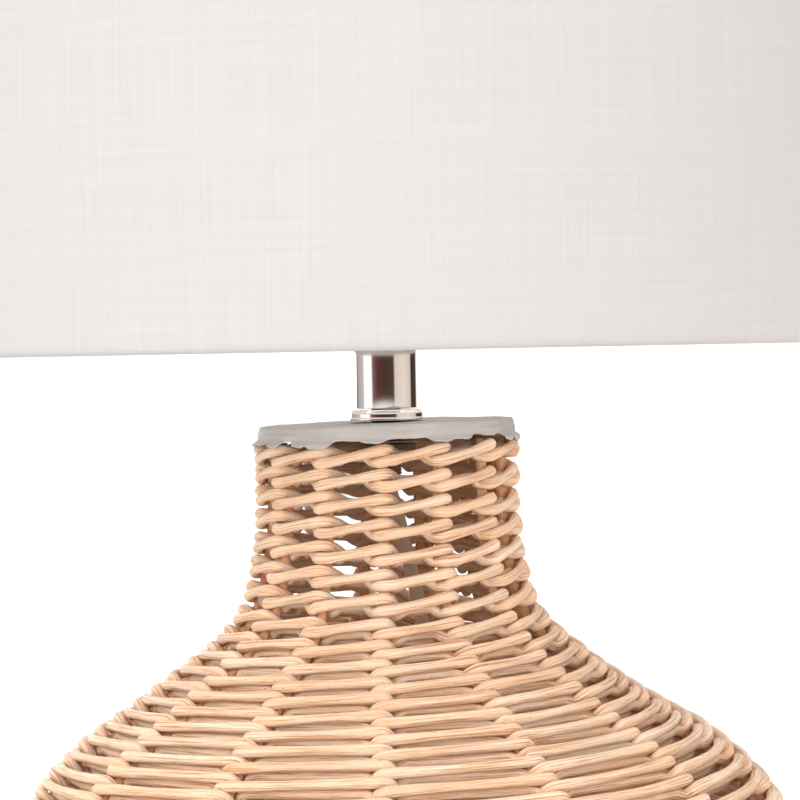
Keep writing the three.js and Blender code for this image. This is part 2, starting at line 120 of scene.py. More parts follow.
# a profile's corners (r, z in mm) rounded off, each by its own or one common radius
def rounded(profile, radius, closed=True, steps=4):
    out = []
    count = len(profile)
    for i, point in enumerate(profile):
        size = point[2] if len(point) > 2 else radius
        here = Vector(point[:2])
        if size <= 0 or (not closed and i in (0, count - 1)):
            out.append(tuple(here))
            continue
        toLast = Vector(profile[i - 1][:2]) - here
        toNext = Vector(profile[(i + 1) % count][:2]) - here
        reach = min(size, 0.45 * toLast.length, 0.45 * toNext.length)
        first, last = here + toLast.normalized() * reach, here + toNext.normalized() * reach
        for k in range(steps + 1):
            t = k / steps
            out.append(tuple(first * (1 - t) ** 2 + here * 2 * t * (1 - t) + last * t * t))
    return out


# a profile in mm spun round the lamp's axis
def spunPiece(name, profile, steps=96, closed=True, centre=(0, 0)):
    mesh = bpy.data.meshes.new(name)
    edges = [(i, i + 1) for i in range(len(profile) - 1)] + ([(len(profile) - 1, 0)] if closed else [])
    mesh.from_pydata([((centre[0] + r) * mm, centre[1] * mm, z * mm) for r, z in profile], edges, [])
    piece = linkMesh(name, mesh)
    startEdit(piece, "EDGE")
    bpy.ops.mesh.spin(steps=steps, angle=2 * math.pi, center=(centre[0] * mm, centre[1] * mm, 0),
                      axis=(0, 0, 1))
    bpy.ops.mesh.select_all(action="SELECT")
    bpy.ops.mesh.remove_doubles(threshold=1e-6)
    bpy.ops.mesh.normals_make_consistent(inside=False)
    endEdit()
    smoothShade(piece)
    return piece


def unit(rows):
    return rows / np.maximum(np.linalg.norm(rows, axis=-1, keepdims=True), 1e-12)


# a tube along a path: section holds (across, up) offsets, upWay the way that up points
def sweptTube(name, path, section, upWay, tone=None):
    count, sides = len(path), section.shape[-2]
    along = unit(np.gradient(path, axis=0))
    across = unit(np.cross(upWay, along))
    up = np.cross(along, across)
    section = np.broadcast_to(section, (count, sides, 2))
    points = path[:, None] + section[..., :1] * across[:, None] + section[..., 1:] * up[:, None]
    i, j = np.meshgrid(np.arange(count - 1), np.arange(sides), indexing="ij")
    k = (j + 1) % sides
    quads = np.stack([i * sides + j, i * sides + k, (i + 1) * sides + k, (i + 1) * sides + j],
                     -1).reshape(-1, 4)
    run = np.concatenate([[0], np.cumsum(np.linalg.norm(np.diff(path, axis=0), axis=1))])
    low, high = run[i], run[i + 1]
    uv = np.stack([low, j / sides, low, (j + 1) / sides, high, (j + 1) / sides, high, j / sides],
                  -1).reshape(-1, 2)
    caps = [np.arange(sides)[::-1], np.arange(sides) + (count - 1) * sides]
    mesh = bpy.data.meshes.new(name)
    mesh.vertices.add(count * sides)
    mesh.vertices.foreach_set("co", points.ravel())
    mesh.loops.add(len(quads) * 4 + 2 * sides)
    mesh.loops.foreach_set("vertex_index", np.concatenate([quads.ravel(), *caps]))
    mesh.polygons.add(len(quads) + 2)
    starts = np.concatenate([np.arange(len(quads)) * 4, [len(quads) * 4, len(quads) * 4 + sides]])
    mesh.polygons.foreach_set("loop_start", starts)
    mesh.polygons.foreach_set("use_smooth", np.concatenate([np.ones(len(quads)), [0, 0]]).astype(bool))
    ends = np.array([[run[0], 0.5]] * sides + [[run[-1], 0.5]] * sides)
    mesh.uv_layers.new(name="UVMap").data.foreach_set("uv", np.concatenate([uv, ends]).ravel())
    if tone is not None:
        mesh.attributes.new("tone", "FLOAT", "POINT").data.foreach_set("value", np.repeat(tone, sides))
    mesh.update(calc_edges=True)
    mesh.validate()
    return linkMesh(name, mesh)


def roundSection(radius, sides, start=-math.pi / 2):
    turn = start + np.arange(sides) * 2 * math.pi / sides
    return np.stack([np.cos(turn), np.sin(turn)], -1) * np.asarray(radius)[..., None, None]


# points of a smooth curve through the given ones (centripetal Catmull-Rom)
def smoothPath(points, step):
    given = np.array(points, float)
    given = np.vstack([2 * given[0] - given[1], given, 2 * given[-1] - given[-2]])
    out = []
    for a, b, c, d in zip(given, given[1:], given[2:], given[3:]):
        knots = np.concatenate([[0], np.cumsum([np.linalg.norm(q - p) ** 0.5 for p,
                                                q in ((a, b), (b, c), (c, d))])])
        count = max(2, int(np.linalg.norm(c - b) / step))
        t = np.linspace(knots[1], knots[2], count, endpoint=False)[:, None]
        ab = (knots[1] - t) / knots[1] * a + t / knots[1] * b
        bc = ((knots[2] - t) * b + (t - knots[1]) * c) / (knots[2] - knots[1])
        cd = ((knots[3] - t) * c + (t - knots[2]) * d) / (knots[3] - knots[2])
        abc = ((knots[2] - t) * ab + t * bc) / knots[2]
        bcd = ((knots[3] - t) * bc + (t - knots[1]) * cd) / (knots[3] - knots[1])
        out.append(((knots[2] - t) * abc + (t - knots[1]) * bcd) / (knots[2] - knots[1]))
    return np.vstack([*out, given[-2:-1]])


def smoothStep(x, low, high):
    t = np.clip((np.asarray(x, float) - low) / (high - low), 0, 1)
    return t * t * (3 - 2 * t)


# camera, floor and light

view = {"x": 4.6, "y": -1000, "z": 290, "lens": 139.5, "down": 0.92, "roll": -1.1}
camera = bpy.data.objects.new("camera", bpy.data.cameras.new("camera"))
bpy.context.scene.collection.objects.link(camera)
camera.data.lens = view["lens"]
camera.data.sensor_width = 36
camera.rotation_mode = "QUATERNION"
camera.location = (view["x"] * mm, view["y"] * mm, view["z"] * mm)
tip = (Vector((0, math.cos(math.radians(view["down"])),
               -math.sin(math.radians(view["down"]))))).to_track_quat("-Z", "Y")
camera.rotation_quaternion = tip @ Vector((1, 0, 0)).rotation_difference(
    Vector((math.cos(math.radians(view["roll"])), math.sin(math.radians(view["roll"])), 0)))
bpy.context.scene.camera = camera
bpy.context.scene.view_settings.view_transform = "Standard"

floorLook = {"radius": 850, "colour": "#F4F3F1"}
deselectAll()
bpy.ops.mesh.primitive_circle_add(vertices=96, radius=floorLook["radius"] * mm, fill_type="NGON")
floor = bpy.context.object
floor.name = "floor"
paper = addMaterial("seamless_paper", {"Base Color": floorLook["colour"], "Roughness": 0.9})[0]
floor.data.materials.append(paper)

# white studio, with dark and grey flats at fixed bearings that only mirror-like surfaces pick up;
# the background itself shows as plain white
studio = {
    "strength": 1.22,
    "flats": [(0.0, "#CFC8C2"), (0.09, "#C4BBB5"), (0.105, "#4A403C"), (0.135, "#3A302D"), (0.15, "#A09A9A"),
              (0.25, "#BFB9BD"), (0.262, "#FFFFFF"), (0.35, "#FFFFFF"), (0.368, "#7A5A60"), (0.42, "#553532"),
              (0.5, "#442F2A"), (0.585, "#4A3A35"), (0.603, "#D2C5BD"), (0.7, "#DED3CA"), (0.79, "#CDC0B6"),
              (0.81, "#3A322E"), (0.915, "#443B36"), (0.935, "#C9C0B8"), (1.0, "#CFC8C2")],
    "flatHeight": 0.16,
}
world = bpy.data.worlds.new("studio")
bpy.context.scene.world = world
world.use_nodes = True
sky = world.node_tree
way = addNode(sky, "SeparateXYZ", links={0: addNode(sky, "TexCoord").outputs["Generated"]})
toFront = addNode(sky, "Math", {"operation": "MULTIPLY", 1: -1.0}, {0: way.outputs["Y"]})
bearing = addNode(sky, "Math", {"operation": "ARCTAN2"}, {0: way.outputs["X"], 1: toFront.outputs[0]})
round01 = addNode(sky, "MapRange", {"From Min": -math.pi, "From Max": math.pi}, {"Value": bearing.outputs[0]})
flats = addNode(sky, "ValToRGB", links={0: round01.outputs[0]})
setStops(flats, studio["flats"])
level = addNode(sky, "Math", {"operation": "ABSOLUTE"}, {0: way.outputs["Z"]})
inBand = addNode(sky, "MapRange", {"From Min": studio["flatHeight"], "From Max": studio["flatHeight"] * 0.8},
                 {"Value": level.outputs[0]})
open01 = addNode(sky, "MapRange", {"From Min": -1.0, "From Max": 1.0}, {"Value": way.outputs["X"]})
dome = addNode(sky, "ValToRGB", links={0: open01.outputs[0]})
setStops(dome, [(0.0, "#FFFFFF"), (0.5, "#FBFAF9"), (1.0, "#EDEAE8")])
seen = addNode(sky, "LightPath")
mirrored = addNode(sky, "Math", {"operation": "MULTIPLY"}, {0: inBand.outputs[0],
                                                            1: seen.outputs["Is Glossy Ray"]})
lit = addNode(sky, "Mix", {"data_type": "RGBA"}, {0: mirrored.outputs[0], 6: dome.outputs[0],
                                                  7: flats.outputs[0]})
mixed = addNode(sky, "Mix", {"data_type": "RGBA", 7: (1.0, 1.0, 1.0, 1.0)},
                {0: seen.outputs["Is Camera Ray"], 6: lit.outputs[2]})
shine = sky.nodes["Background"]
shine.inputs["Strength"].default_value = studio["strength"]
sky.links.new(mixed.outputs[2], shine.inputs["Color"])

lamps = [
    {"name": "key_left", "at": (-1.3, -1.2, 1.1), "aim": (0, 0, 0.2),
     "size": 1.2, "power": 14, "glossy": True},
    {"name": "fill_front", "at": (0.5, -1.55, 0.36), "aim": (0, 0, 0.2),
     "size": 0.8, "power": 10, "glossy": False},
    {"name": "back_left", "at": (-0.5, 1.2, 0.5), "aim": (0, 0, 0.2),
     "size": 1.2, "power": 8, "glossy": True},
]
for lamp in lamps:
    light = bpy.data.objects.new(lamp["name"], bpy.data.lights.new(lamp["name"], "AREA"))
    bpy.context.scene.collection.objects.link(light)
    light.data.shape = "DISK"
    light.data.size = lamp["size"]
    light.data.energy = lamp["power"]
    light.location = lamp["at"]
    light.visible_glossy = lamp["glossy"]
    light.rotation_mode = "QUATERNION"
    light.rotation_quaternion = (Vector(lamp["aim"]) - Vector(lamp["at"])).to_track_quat("-Z", "Y")
print("camera and light set")


# materials

# peeled rattan core, hand woven: pale, with fine grooves along it, dark specks and tan tints
def makeCane(name, tint, toneRange):
    cane, tree, surface = addMaterial(name, {"Roughness": 0.62, "Specular IOR Level": 0.3,
                                             "Subsurface Weight": 0.3,
                                             "Subsurface Radius": (1.0, 0.62, 0.45),
                                             "Subsurface Scale": 0.0018})
    uv = addNode(tree, "SeparateXYZ", links={0: addNode(tree, "UVMap", {"uv_map": "UVMap"}).outputs[0]})
    turn = addNode(tree, "Math", {"operation": "MULTIPLY", 1: 2 * math.pi}, {0: uv.outputs[1]})
    cosine = addNode(tree, "Math", {"operation": "COSINE"}, {0: turn.outputs[0]})
    sine = addNode(tree, "Math", {"operation": "SINE"}, {0: turn.outputs[0]})
    round3 = addNode(tree, "CombineXYZ", links={0: cosine.outputs[0], 1: sine.outputs[0], 2: uv.outputs[0]})
    tone = addNode(tree, "Attribute", {"attribute_name": "tone"})
    # grooves every 0.5 mm round the rod, drawn out to 24 mm along it
    drawn = addNode(tree, "Mapping", {"Scale": (3.6, 3.6, 42)}, {0: round3.outputs[0]})
    groove = addNode(tree, "TexNoise", {"Scale": 1.0, "Detail": 4.0, "Roughness": 0.65},
                     {"Vector": drawn.outputs[0]})
    wide = addNode(tree, "Mapping", {"Scale": (0.8, 0.8, 14)}, {0: round3.outputs[0]})
    patch = addNode(tree, "TexNoise", {"Scale": 1.0, "Detail": 3.0}, {"Vector": wide.outputs[0]})
    speckle = addNode(tree, "Mapping", {"Scale": (3.0, 3.0, 260)}, {0: round3.outputs[0]})
    fleck = addNode(tree, "TexNoise", {"Scale": 1.0, "Detail": 2.0}, {"Vector": speckle.outputs[0]})
    fleckRamp = addNode(tree, "ValToRGB", links={0: fleck.outputs[0]})
    setStops(fleckRamp, [(0.735, 0.0), (0.78, 1.0)])
    body = addNode(tree, "ValToRGB", links={0: groove.outputs[0]})
    setStops(body, [(0.38, tint[0]), (0.47, tint[1]), (0.62, tint[2])])
    patchRamp = addNode(tree, "ValToRGB", links={0: patch.outputs[0]})
    setStops(patchRamp, [(0.42, 0.0), (0.75, 0.6)])
    tinted = addNode(tree, "Mix", {"data_type": "RGBA", 7: toLinear(tint[3])},
                     {0: patchRamp.outputs[0], 6: body.outputs[0]})
    toneMix = addNode(tree, "MapRange", {"From Min": 0.0, "From Max": 1.0, "To Min": toneRange[0],
                                         "To Max": toneRange[1]}, {"Value": tone.outputs["Fac"]})
    toned = addNode(tree, "Mix", {"data_type": "RGBA", 7: toLinear(tint[4])},
                    {0: toneMix.outputs[0], 6: tinted.outputs[2]})
    flecked = addNode(tree, "Mix", {"data_type": "RGBA", 7: toLinear("#5A3A22")},
                      {0: fleckRamp.outputs[0], 6: toned.outputs[2]})
    bump = addNode(tree, "Bump", {"Strength": 1.0, "Distance": 0.0011}, {"Height": groove.outputs[0]})
    tree.links.new(flecked.outputs[2], surface.inputs["Base Color"])
    tree.links.new(bump.outputs[0], surface.inputs["Normal"])
    return cane


cane = makeCane("peeled_rattan", ["#C27F54", "#FEDBBB", "#FFEFDE", "#F6C8A2", "#F6C297"], (0.0, 0.55))
# the stakes stand deep in the wall behind the rods, so they get a darker, more orange copy of the cane:
# painted shade
stakeCaneShaded = makeCane("rattan_stakes_painted_shade", ["#E8A470", "#FCC698", "#FFD8B2", "#F2B080", "#ECA674"], (0.1, 0.5))


# fine-grained surfaces: a colour broken up a little, with a grain in the bump
def makeFine(name, settings, grain=(400, 0.1, 0.0001), tints=None, patchScale=40):
    material, tree, surface = addMaterial(name, settings)
    place = addNode(tree, "TexCoord").outputs["Object"]
    noise = addNode(tree, "TexNoise", {"Scale": grain[0], "Detail": 4.0}, {"Vector": place})
    bump = addNode(tree, "Bump", {"Strength": grain[1], "Distance": grain[2]}, {"Height": noise.outputs[0]})
    tree.links.new(bump.outputs[0], surface.inputs["Normal"])
    if tints:
        patch = addNode(tree, "TexNoise", {"Scale": patchScale, "Detail": 5.0}, {"Vector": place})
        ramp = addNode(tree, "ValToRGB", links={0: patch.outputs[0]})
        setStops(ramp, [(0.3, tints[0]), (0.7, tints[1])])
        tree.links.new(ramp.outputs[0], surface.inputs["Base Color"])
    return material


# wood turned and brushed over with thick water-based paint: low streaks round it, a soft satin
def makePaint():
    material, tree, surface = addMaterial("brushed_paint", {"Roughness": 0.6, "Specular IOR Level": 0.4})
    place = addNode(tree, "TexCoord").outputs["Object"]
    drawn = addNode(tree, "Mapping", {"Scale": (60, 60, 700)}, {0: place})
    streak = addNode(tree, "TexNoise", {"Scale": 1.0, "Detail": 5.0, "Roughness": 0.6},
                     {"Vector": drawn.outputs[0]})
    patch = addNode(tree, "TexNoise", {"Scale": 90.0, "Detail": 4.0}, {"Vector": place})
    both = addNode(tree, "Math", {"operation": "ADD"}, {0: streak.outputs[0], 1: patch.outputs[0]})
    ramp = addNode(tree, "ValToRGB", links={0: addNode(tree, "Math", {"operation": "MULTIPLY", 1: 0.5},
                                                      {0: both.outputs[0]}).outputs[0]})
    setStops(ramp, [(0.36, "#A7A19D"), (0.5, "#B0AAA6"), (0.66, "#B8B4B1")])
    bump = addNode(tree, "Bump", {"Strength": 0.5, "Distance": 0.0005}, {"Height": both.outputs[0]})
    tree.links.new(ramp.outputs[0], surface.inputs["Base Color"])
    tree.links.new(bump.outputs[0], surface.inputs["Normal"])
    return material


paint = makePaint()
nickel = makeFine("polished_nickel", {"Base Color": "#F1ECE7", "Metallic": 1.0, "Roughness": 0.06},
                  grain=(120, 0.05, 0.0001))
zinc = makeFine("zinc_steel", {"Metallic": 1.0, "Roughness": 0.36}, (900, 0.2, 0.0001),
                ("#A79F90", "#C6BEAE"), 180)
castIron = makeFine("cast_iron", {"Metallic": 0.6, "Roughness": 0.75}, (700, 0.6, 0.0004),
                    ("#3A3734", "#575250"), 90)
whiteWire = makeFine("powder_coat", {"Roughness": 0.42}, (1500, 0.25, 0.0001), ("#D3D0CA", "#DDDAD6"), 60)
styrene = makeFine("styrene_lining", {"Roughness": 0.35}, (260, 0.1, 0.0001), ("#ECE8E1", "#F4F1EC"), 12)
gloss = makeFine("moulded_abs", {"Roughness": 0.28, "Coat Weight": 0.1}, (1400, 0.08, 0.0001),
                 ("#C4C2BE", "#CCCAC7"), 30)
porcelain = makeFine("glazed_porcelain", {"Roughness": 0.15, "Coat Weight": 0.6}, (300, 0.05, 0.0001),
                     ("#EFEBE2", "#F7F4EE"), 50)
brass = makeFine("turned_brass", {"Metallic": 1.0, "Roughness": 0.3}, (800, 0.15, 0.0001),
                 ("#C59A4C", "#DDB768"), 150)
opal = makeFine("opal_glass", {"Roughness": 0.18, "Coat Weight": 0.5}, (60, 0.02, 0.0001),
                ("#F3F0EA", "#F9F7F3"), 20)
rubber = makeFine("black_rubber", {"Roughness": 0.8}, (900, 0.4, 0.0002), ("#201F1E", "#2E2C2A"), 120)
boot = makeFine("clear_pvc", {"Base Color": "#D9DAD6", "Roughness": 0.25, "Transmission Weight": 0.35,
                              "IOR": 1.53}, (500, 0.05, 0.0001))


# linen: plain weave of slubbed threads, about 0.9 mm apart here so that it shows
def makeLinen():
    material, tree, surface = addMaterial("natural_white_linen", {"Roughness": 0.85, "Sheen Weight": 0.12,
                                                                "Specular IOR Level": 0.2})
    uv = addNode(tree, "UVMap", {"uv_map": "UVMap"}).outputs[0]
    heights = []
    tints = []
    for scale, slub in (((1100, 26, 1), (900, 9, 1)), ((26, 1100, 1), (9, 900, 1))):
        thread = addNode(tree, "TexNoise", {"Scale": 1.0, "Detail": 2.0}, {
            "Vector": addNode(tree, "Mapping", {"Scale": scale}, {0: uv}).outputs[0]})
        thick = addNode(tree, "TexNoise", {"Scale": 1.0, "Detail": 3.0, "Roughness": 0.6}, {
            "Vector": addNode(tree, "Mapping", {"Scale": slub}, {0: uv}).outputs[0]})
        heights.append(thread.outputs[0])
        tints.append(thick.outputs[0])
    weave = addNode(tree, "Math", {"operation": "ADD"}, {0: heights[0], 1: heights[1]})
    slubs = addNode(tree, "Math", {"operation": "ADD"}, {0: tints[0], 1: tints[1]})
    total = addNode(tree, "Math", {"operation": "ADD"}, {0: weave.outputs[0], 1: slubs.outputs[0]})
    ramp = addNode(tree, "ValToRGB", links={0: addNode(tree, "Math", {"operation": "MULTIPLY", 1: 0.25},
                                                      {0: total.outputs[0]}).outputs[0]})
    setStops(ramp, [(0.36, "#B2AFAE"), (0.5, "#B6B2B1"), (0.64, "#BAB7B6")])
    bump = addNode(tree, "Bump", {"Strength": 0.06, "Distance": 0.0004}, {"Height": total.outputs[0]})
    tree.links.new(ramp.outputs[0], surface.inputs["Base Color"])
    tree.links.new(bump.outputs[0], surface.inputs["Normal"])
    return material


linen = makeLinen()


# clear PVC flat flex: the two conductors show through it as a copper and a tinned one
def makeFlex():
    material, tree, surface = addMaterial("clear_flat_flex", {"Roughness": 0.22, "Coat Weight": 0.5,
                                                            "Coat Roughness": 0.12})
    uv = addNode(tree, "SeparateXYZ", links={0: addNode(tree, "UVMap", {"uv_map": "UVMap"}).outputs[0]})
    ramp = addNode(tree, "ValToRGB", links={0: uv.outputs[1]})
    setStops(ramp, [(0.0, "#DADBD6"), (0.04, "#E6E6E1"), (0.1, "#B9BAB6"), (0.2, "#A6A8A5"),
                    (0.32, "#C0C1BC"), (0.44, "#E6E6E1"), (0.5, "#DADBD6"), (0.55, "#E6E0D5"),
                    (0.62, "#CDB196"), (0.74, "#C09C7C"), (0.86, "#D2B9A2"), (0.96, "#E6E0D5"),
                    (1.0, "#DADBD6")])
    lay = addNode(tree, "TexNoise", {"Scale": 1.0, "Detail": 2.0}, {"Vector": addNode(tree, "Mapping", {
        "Scale": (700, 14, 1)}, {0: addNode(tree, "UVMap", {"uv_map": "UVMap"}).outputs[0]}).outputs[0]})
    tinted = addNode(tree, "Mix", {"data_type": "RGBA", "blend_type": "MULTIPLY", 0: 0.25},
                     {6: ramp.outputs[0], 7: lay.outputs["Color"]})
    tree.links.new(tinted.outputs[2], surface.inputs["Base Color"])
    return material


flexLook = makeFlex()
sheath = makeFine("beige_pvc_flex", {"Base Color": "#D3C4AD", "Roughness": 0.4}, grain=(900, 0.05, 0.0001))
print("materials made")


# cords

outlet = {"azimuth": 150.3, "height": 30.0}
flex = {"width": 5.4, "thickness": 2.8, "step": 2.0}
coil = {"x": -112, "y": 112, "radii": [33, 30, 27, 27, 30, 33], "levels": [3.1, 3.1, 3.1, 8.5, 8.5, 8.5]}
switch = {"x": -88, "y": 196, "turn": 200}
plugEnd = {"x": -13.4, "y": 168, "turn": 5, "z": 6.8}

# the wall's outline (radius, height), a spline through the CAD's own points
outline = [(43, 261.4), (43.1, 240), (44.5, 225), (51, 205), (74.8, 185), (104.4, 165), (122.1, 145),
           (134.5, 112), (133, 80), (117, 40), (98, 13.6)]


def outlineCurve():
    given = np.array(outline, float)
    rows = []
    for i in range(len(given) - 1):
        a, b, c, d = given[max(i - 1, 0)], given[i], given[i + 1], given[min(i + 2, len(given) - 1)]
        v0, v1 = (c - a) / 2, (d - b) / 2
        t = np.linspace(0, 1, 60, endpoint=False)[:, None]
        rows.append((2 * b - 2 * c + v0 + v1) * t ** 3 + (-3 * b + 3 * c - 2 * v0 - v1) * t ** 2 + v0 * t + b)
    line = np.vstack([*rows, given[-1:]])
    run = np.concatenate([[0], np.cumsum(np.linalg.norm(np.diff(line, axis=0), axis=1))])
    return line, run, unit(np.gradient(line, axis=0))


wallLine, wallRun, wallAlong = outlineCurve()


# the wall at an arc length from its top, moved inwards by a depth: radius, height, and the outward way
def wallPoint(s, depth):
    r, z = np.interp(s, wallRun, wallLine[:, 0]), np.interp(s, wallRun, wallLine[:, 1])
    ar, az = np.interp(s, wallRun, wallAlong[:, 0]), np.interp(s, wallRun, wallAlong[:, 1])
    return r + depth * az, z - depth * ar, -az, ar


def aroundAxis(r, azimuth, z):
    return np.stack(np.broadcast_arrays(r * np.sin(azimuth), -r * np.cos(azimuth), z), -1)


# the belly leans to +X, and the top follows the slope at which the cap is glued on
lean = {"most": 3.5, "from": 190, "full": 138, "ease": 110, "slope": math.tan(math.radians(1.2))}


def handMade(points):
    z = points[..., 2]
    rise = lean["slope"] * points[..., 0] * smoothStep(z, 235, 261.4)
    shift = lean["most"] * (1 - smoothStep(z, lean["full"], lean["from"])) * smoothStep(z, 13.6, lean["ease"])
    return points + np.stack([shift, np.zeros_like(z), rise], -1)


def outletFrame():
    s = wallRun[np.argmax((wallLine[:, 1] <= outlet["height"]))]
    r, z, outR, outZ = wallPoint(s, 0)
    turn = math.radians(outlet["azimuth"])
    at = handMade(aroundAxis(np.array(r), np.array(turn), outlet["height"]))
    way = aroundAxis(np.array(outR), np.array(turn), float(outZ))
    return at, unit(way)


exitAt, exitWay = outletFrame()
switchWay = np.array([math.cos(math.radians(switch["turn"])), math.sin(math.radians(switch["turn"])), 0])
plugWay = np.array([math.cos(math.radians(plugEnd["turn"])), math.sin(math.radians(plugEnd["turn"])), 0])


def besideSwitch(distance, z):
    return np.array([switch["x"], switch["y"], 0]) + switchWay * distance + (0, 0, z)


plugEntry = np.array([plugEnd["x"], plugEnd["y"], plugEnd["z"]])
ground = 1.5
routeOut = [exitAt + exitWay * d for d in (4, 14, 24.6, 32.3)] + [(78.5, 137.5, 3.4), (86, 152, ground),
                                                                  (91, 176, ground), (83, 202, ground),
                                                                  (59, 220, ground), (32, 227, ground),
                                                                  (2, 226, ground), (-28, 218.5, 3),
                                                                  besideSwitch(-31.3, 4.6),
                                                                  besideSwitch(0, 4.6),
                                                                  besideSwitch(31.3, 4.6),
                                                                  besideSwitch(43.3, 2.2),
                                                                  (-148.5, 167, 1.6), (-157, 147, 2),
                                                                  (-154.6, 131, 2.7), (-149.8, 120, 3.0)]
coilRows = []
for turnAt in np.arange(0, 6.0, 1 / 24):
    which = int(turnAt)
    part = smoothStep(turnAt - which, 0.8, 1.0)
    after = min(which + 1, 5)
    radius = coil["radii"][which] * (1 - part) + coil["radii"][after] * part
    height = coil["levels"][which] * (1 - part) + coil["levels"][after] * part
    if which == 5:
        height = coil["levels"][5] * (1 - part) + 12.8 * part
        radius = 33 * (1 - part) + 30 * part
    angle = math.pi + 2 * math.pi * turnAt
    coilRows.append((coil["x"] + radius * math.cos(angle), coil["y"] + radius * math.sin(angle), height))
routeIn = [(coil["x"] + 30 * math.cos(math.radians(a)), coil["y"] + 30 * math.sin(math.radians(a)), 12.8)
           for a in range(180, 361, 30)] + [
    (-80.8, 124, 12.8), (-79.3, 132, 11.8), (-77, 142, 7), (-72, 151, 3.2), (-62, 159, 1.8), (-46, 164, 2),
    plugEntry - plugWay * 14 - (0, 0, 2.2), plugEntry - plugWay * 0.3]
flexPath = smoothPath(routeOut + coilRows[1:] + routeIn, flex["step"])
flexRun = np.concatenate([[0], np.cumsum(np.linalg.norm(np.diff(flexPath, axis=0), axis=1))])

# lying flat, but on edge in the coil's turns
coilEntry = np.argmin(np.linalg.norm(flexPath - np.array(coilRows[2]), axis=1))
topEntry = np.argmin(np.linalg.norm(flexPath - np.array(routeIn[1]), axis=1))
onEdge = smoothStep(flexRun, flexRun[coilEntry] - 45, flexRun[coilEntry]) * (
    1 - smoothStep(flexRun, flexRun[topEntry] - 45, flexRun[topEntry]))
along = unit(np.gradient(flexPath, axis=0))
level = unit(np.cross((0, 0, 1.0), along))
upright = np.cross(along, level)
lean90 = onEdge[:, None] * math.pi / 2
flexUp = upright * np.cos(lean90) + level * np.sin(lean90)


# two round lobes with a shallow waist between them
def flexSection(sides=20):
    turn = -math.pi / 2 + np.arange(sides) * 2 * math.pi / sides
    across = np.cos(turn) * flex["width"] / 2
    lobe = flex["thickness"] / 2
    up = np.sin(turn) * lobe * (1.1 - 0.22 * np.abs(np.sin(turn)) ** 6)
    return np.stack([across, np.clip(up, -lobe, lobe)], -1)


mains = sweptTube("mains_flex", flexPath * mm, flexSection() * mm, flexUp)
finishPiece(mains, flexLook, "clear_flex", ["cord_to_switch", "cord_to_coil", "cord_coil", "cord_to_plug"])

innerRoute = [(0, 0, 312.7), (0, 0, 290), (0, 0, 268), (0, 0, 250), (3, 4.5, 237), (8.3, 15, 213),
              (12, 23, 193), (21, 41, 150), (30, 58, 105), (39, 75, 64), exitAt - exitWay * 21,
              exitAt - exitWay * 9.3, exitAt + exitWay * 4]
innerPath = smoothPath(innerRoute, 2.5)
innerWay = unit(np.cross(unit(np.gradient(innerPath, axis=0)), (0.79, -0.61, 0.0)))
lead = sweptTube("inner_flex", innerPath * mm, flexSection() * mm, innerWay)
finishPiece(lead, sheath, "clear_flex", ["inner_lead"])
print("cords laid")


# woven basket

basket = {"stakes": 13, "firstStake": -2.0, "inset": 6.0, "rod": 1.82, "waist": 0.2, "stakeRod": 1.7,
          "sides": 12, "topRow": 4.2, "bottomRow": 4.0, "rows": 39, "seed": 11, "splice": 2300.0}
# one rod's way past three stakes: (stake, mm after it, depth outwards, height over the row's line)
rodWay = [(0, 0, 3.9, -1.85), (0.5, 0, 4.3, 0), (1, -2, 4.1, 1.6), (1, 0.2, 3.7, 1.95), (1, 1.7, 2.3, 1.95),
          (1, 2.6, 0.2, 1.6), (1, 4.2, -2.3, 0.6), (1, 6.2, -3.4, -0.2), (1.5, 0.5, -3.7, -0.2),
          (2, -1, -3.9, 0.3), (2, 1.4, -3.4, -0.6), (2, 3.0, -1.9, -1.6), (2, 4.6, -0.3, -1.5),
          (2, 7, 0.4, -0.5), (2.5, 0.6, 0.5, -0.1), (3, -7.2, 0.5, 0.2), (3, -5.3, 0.5, -0.6),
          (3, -3.6, 0.9, -1.7), (3, -2.2, 2.6, -1.95), (3, -1.0, 3.6, -1.95)]
stakeTurn = 2 * math.pi / basket["stakes"]
totalRun = wallRun[-1]
rowPitch = (totalRun - basket["topRow"] - basket["bottomRow"]) / (basket["rows"] - 1)


# the row's line as an arc length from the top, at u stakes along; it steps up one row at the back
def rowLine(u):
    turns = u / basket["stakes"]
    row = np.minimum(np.floor(turns), basket["rows"] - 1)
    step = smoothStep(turns - row, 1 - 1.1 / basket["stakes"], 1.0) * (row < basket["rows"] - 1)
    return totalRun - basket["bottomRow"] - rowPitch * (row + step)


